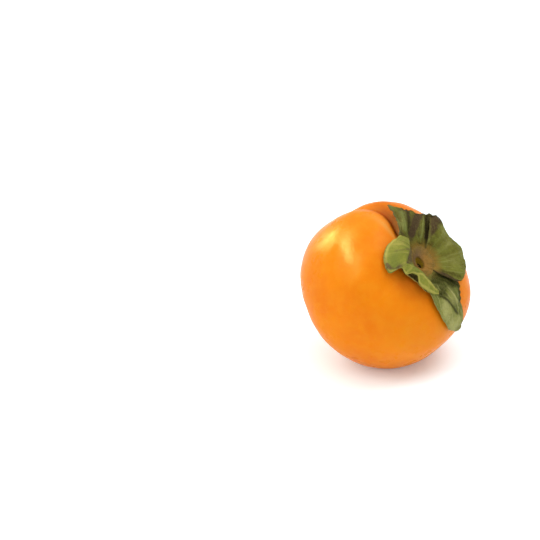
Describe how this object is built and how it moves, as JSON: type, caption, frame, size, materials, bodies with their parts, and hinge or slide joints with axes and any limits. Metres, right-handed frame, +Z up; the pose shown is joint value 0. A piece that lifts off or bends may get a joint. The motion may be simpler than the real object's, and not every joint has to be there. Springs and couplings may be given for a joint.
{
  "type": "persimmon",
  "caption": "Whole orange persimmon lying on its side on a small flat spot, with a dried green calyx of curled sepals round the stem scar.",
  "frame": {"origin": "on the surface it rests on, under the middle of its bounding box", "axes": "+Z up; the calyx faces +X and -Y, about 36 degrees round from +X, with the fruit's own axis tilted about 48 degrees from upright"},
  "size_m": [0.0766, 0.0756, 0.0727],
  "materials": {
    "skin": "satin",
    "leaf": "matte",
    "cork": "matte",
    "stem": "matte",
    "style": "matte"
  },
  "bodies": {
    "root": {"fruit": "skin", "calyx_disc": "cork", "stem_stub": "stem", "style_tip": "style", "sepal_lower": "leaf", "sepal_right": "leaf", "sepal_upper": "leaf", "sepal_left": "leaf"}
  },
  "joints": []
}
